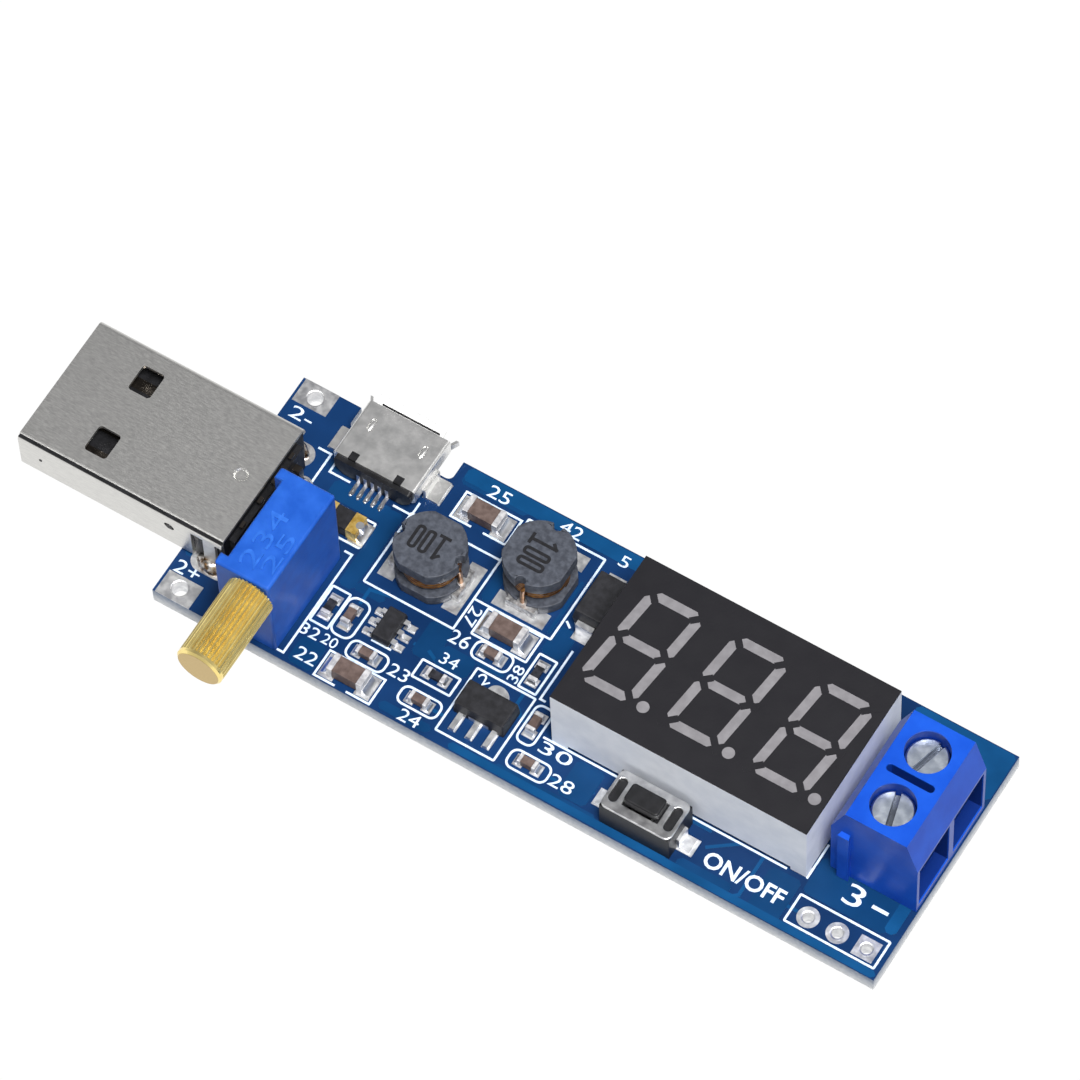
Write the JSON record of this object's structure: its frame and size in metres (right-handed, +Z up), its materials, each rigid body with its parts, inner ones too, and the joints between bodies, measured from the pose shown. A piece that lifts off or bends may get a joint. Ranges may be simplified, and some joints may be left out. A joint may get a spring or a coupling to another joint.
{
  "type": "buck-boost converter module",
  "caption": "Small circuit module that plugs into a USB port and steps its voltage up or down, with an adjusting screw, display, button and screw terminal.",
  "frame": {"origin": "on the surface that the soldered pins stand on, under the middle of the module's box", "axes": "+X along the board from the plug to the output terminal, +Y across it to the micro-USB socket, +Z up"},
  "size_m": [0.079, 0.0294, 0.0135],
  "materials": {
    "blue_board": "solder mask, satin",
    "tinned_copper": "tinned pads",
    "solder": "bright solder",
    "nickel_shell": "satin nickel plate",
    "tin_shell": "bright tin plate",
    "black_plastic": "moulded",
    "plated_contacts": "tin plate",
    "trimmer_blue": "moulded, satin",
    "knurled_brass": "turned and knurled",
    "ceramic_white": "fired",
    "resin": "potting resin",
    "rubber": "moulded",
    "ferrite": "pressed ferrite",
    "copper_wire": "enamelled wire",
    "display_grey": "moulded, with a black face",
    "segment_resin": "diffusing resin",
    "display_laminate": "glass laminate",
    "spring_steel": "stamped",
    "terminal_blue": "moulded",
    "screw_steel": "zinc plated",
    "chip_plastic": "moulded",
    "capacitor_ceramic": "fired",
    "resistor_body": "glazed"
  },
  "bodies": {
    "root": {"circuit_board": "blue_board", "board_pads": "tinned_copper", "solder_joints": "solder", "usb_plug_shell": "nickel_shell", "usb_plug_insulator": "black_plastic", "usb_plug_contacts": "plated_contacts", "micro_usb_shell": "tin_shell", "micro_usb_insulator": "black_plastic", "micro_usb_contacts": "plated_contacts", "trimmer_housing": "trimmer_blue", "trimmer_seal": "resin", "trimmer_pins": "tinned_copper", "trimmer_element": "ceramic_white", "trimmer_ring": "rubber", "inductor_1_core": "ferrite", "inductor_1_winding": "copper_wire", "inductor_1_ends": "solder", "inductor_2_core": "ferrite", "inductor_2_winding": "copper_wire", "inductor_2_ends": "solder", "display_housing": "display_grey", "display_segments": "segment_resin", "display_circuit_board": "display_laminate", "display_pins": "tinned_copper", "switch_body": "black_plastic", "switch_cover": "spring_steel", "switch_dome": "spring_steel", "switch_leads": "tinned_copper", "terminal_housing": "terminal_blue", "terminal_pins": "tinned_copper", "diode_body": "chip_plastic", "diode_leads": "tinned_copper", "converter_chip": "chip_plastic", "converter_chip_leads": "tinned_copper", "regulator_body": "chip_plastic", "regulator_leads": "tinned_copper", "meter_chip": "chip_plastic", "meter_chip_leads": "tinned_copper", "large_capacitors": "capacitor_ceramic", "large_capacitors_ends": "tinned_copper", "small_capacitors": "capacitor_ceramic", "small_capacitors_ends": "tinned_copper", "resistors": "resistor_body", "resistors_ends": "tinned_copper"},
    "adjusting_screw": {"trimmer_adjusting_screw": "knurled_brass"},
    "wiper": {"trimmer_wiper": "black_plastic"},
    "button": {"switch_button": "black_plastic"},
    "screw_1": {"terminal_screw_1": "screw_steel"},
    "screw_2": {"terminal_screw_2": "screw_steel"},
    "cage_1": {"terminal_cage_1": "screw_steel"},
    "cage_2": {"terminal_cage_2": "screw_steel"}
  },
  "joints": [
    {"name": "adjusting_screw_turn", "type": "hinge", "parent": "root", "child": "adjusting_screw", "pos_m": [-0.0155, -0.0073, 0.01115], "axis": [0, 1, 0], "range_deg": [-4500, 4500]},
    {"name": "wiper_slide", "type": "slide", "parent": "root", "child": "wiper", "axis": [0, 1, 0], "range_m": [-0.0023, 0.0023]},
    {"name": "button_press", "type": "slide", "parent": "root", "child": "button", "axis": [0, 0, -1], "range_m": [0, 0.00025], "stiffness_N_per_m": 2000, "springref_m": -0.0002, "deforming": ["switch_dome"]},
    {"name": "screw_1_turn", "type": "hinge", "parent": "root", "child": "screw_1", "pos_m": [0.0358, 0.00144, 0.01245], "axis": [0, 0, -1], "range_deg": [0, 1281]},
    {"name": "cage_1_lift", "type": "slide", "parent": "root", "child": "cage_1", "axis": [0, 0, 1], "range_m": [0, 0.0016]},
    {"name": "screw_2_turn", "type": "hinge", "parent": "root", "child": "screw_2", "pos_m": [0.0358, 0.00651, 0.01245], "axis": [0, 0, -1], "range_deg": [0, 1281]},
    {"name": "cage_2_lift", "type": "slide", "parent": "root", "child": "cage_2", "axis": [0, 0, 1], "range_m": [0, 0.0016]}
  ],
  "couplings": [
    {"joint": "adjusting_screw_turn", "follows": "wiper_slide", "rad_per_m": 34147},
    {"joint": "screw_1_turn", "follows": "cage_1_lift", "rad_per_m": 13963},
    {"joint": "screw_2_turn", "follows": "cage_2_lift", "rad_per_m": 13963}
  ]
}
